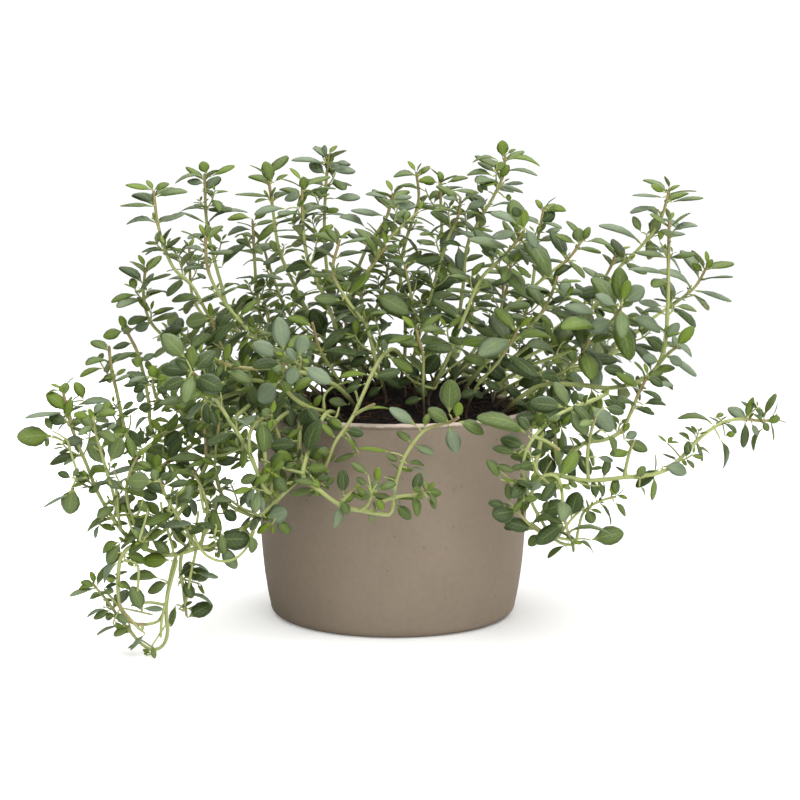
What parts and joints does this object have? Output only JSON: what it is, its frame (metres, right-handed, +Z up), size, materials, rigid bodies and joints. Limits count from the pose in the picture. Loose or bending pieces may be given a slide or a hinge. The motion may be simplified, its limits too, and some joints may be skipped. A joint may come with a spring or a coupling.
{
  "type": "potted thyme",
  "caption": "Garden thyme in a thin-walled tapered pot: upright and trailing leafy stems growing from a plug of dark soil.",
  "frame": {"origin": "centre of the pot's flat base", "axes": "+Z up along the pot's axis, -Y towards the side with the open soil and the stem that arches in front of the pot, +X to the right as seen from there"},
  "size_m": [0.3021, 0.2046, 0.2057],
  "materials": {
    "pot": "matte taupe with a paler, slightly uneven rim edge and faint specks",
    "soil": "damp dark peat compost with reddish fibres",
    "leaf": "satin dark green above, paler grey-green below, bright green at the tips",
    "stem": "satin pale yellow-green, reddish brown at the joints"
  },
  "bodies": {
    "root": {"pot": "pot", "soil": "soil", "upright_01": "leaf", "upright_02": "leaf", "upright_03": "leaf", "upright_04": "leaf", "upright_05": "leaf", "upright_06": "leaf", "upright_07": "leaf", "upright_08": "leaf", "upright_09": "leaf", "upright_10": "leaf", "upright_11": "leaf", "upright_12": "leaf", "upright_13": "leaf", "upright_14": "leaf", "upright_15": "leaf", "upright_16": "leaf", "upright_17": "leaf", "upright_18": "leaf", "upright_19": "leaf", "upright_20": "leaf", "upright_21": "leaf", "upright_22": "leaf", "upright_23": "leaf", "upright_24": "leaf", "upright_25": "leaf", "upright_26": "leaf", "middle_01": "leaf", "middle_02": "leaf", "middle_03": "leaf", "middle_04": "leaf", "middle_05": "leaf", "middle_06": "leaf", "middle_07": "leaf", "back_01": "leaf", "back_02": "leaf", "back_03": "leaf", "back_04": "leaf", "back_05": "leaf", "back_06": "leaf", "back_07": "leaf", "left_long": "leaf", "left_hook": "leaf", "left_high": "leaf", "left_thin": "leaf", "left_bow": "leaf", "left_rosette": "leaf", "left_low": "leaf", "front_pair": "leaf", "front_left": "leaf", "front_arch": "leaf", "front_long": "leaf", "front_hang": "leaf", "right_crown": "leaf", "right_knee": "leaf", "right_long": "leaf"}
  },
  "joints": []
}
